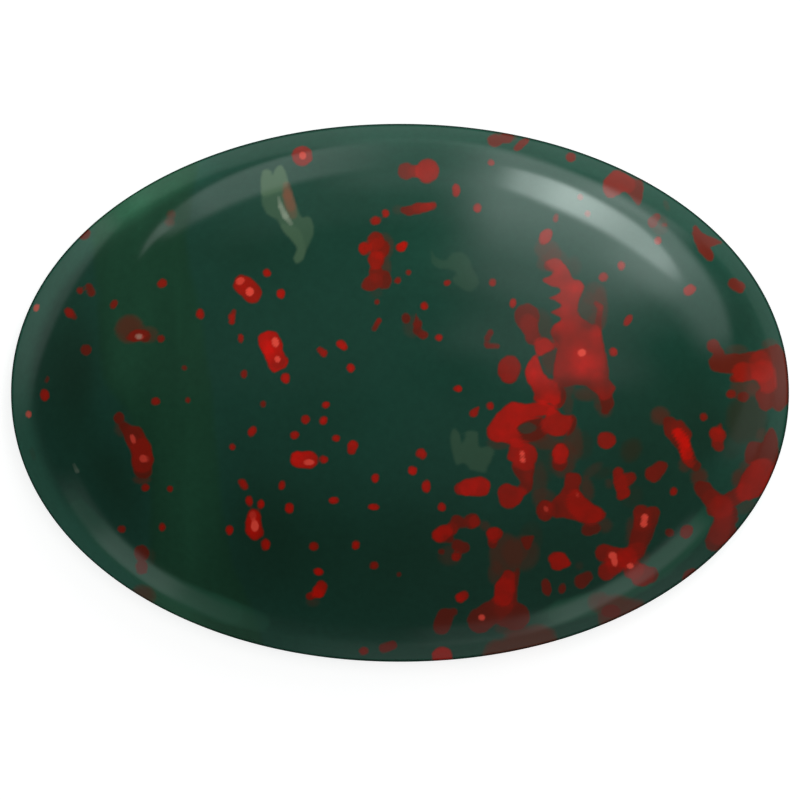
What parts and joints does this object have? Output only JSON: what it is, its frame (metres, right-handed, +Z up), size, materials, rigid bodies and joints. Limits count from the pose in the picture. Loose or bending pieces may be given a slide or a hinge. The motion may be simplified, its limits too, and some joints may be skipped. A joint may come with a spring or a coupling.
{
  "type": "bloodstone cabochon",
  "caption": "Oval polished gemstone with a low dome, a narrow upright girdle and a flat base that it lies on; dark green with red spots and blotches.",
  "frame": {"origin": "middle of the flat base, which is the lowest level of the stone", "axes": "+X along the oval's long side, +Y along its short side, +Z up through the dome"},
  "size_m": [0.0388, 0.027, 0.0075],
  "materials": {
    "bloodstone_polished": "dark green chalcedony with red iron-oxide spots and blotches, polished dome and girdle, satin lapped base"
  },
  "bodies": {
    "root": {"bloodstone": "bloodstone_polished"}
  },
  "joints": []
}
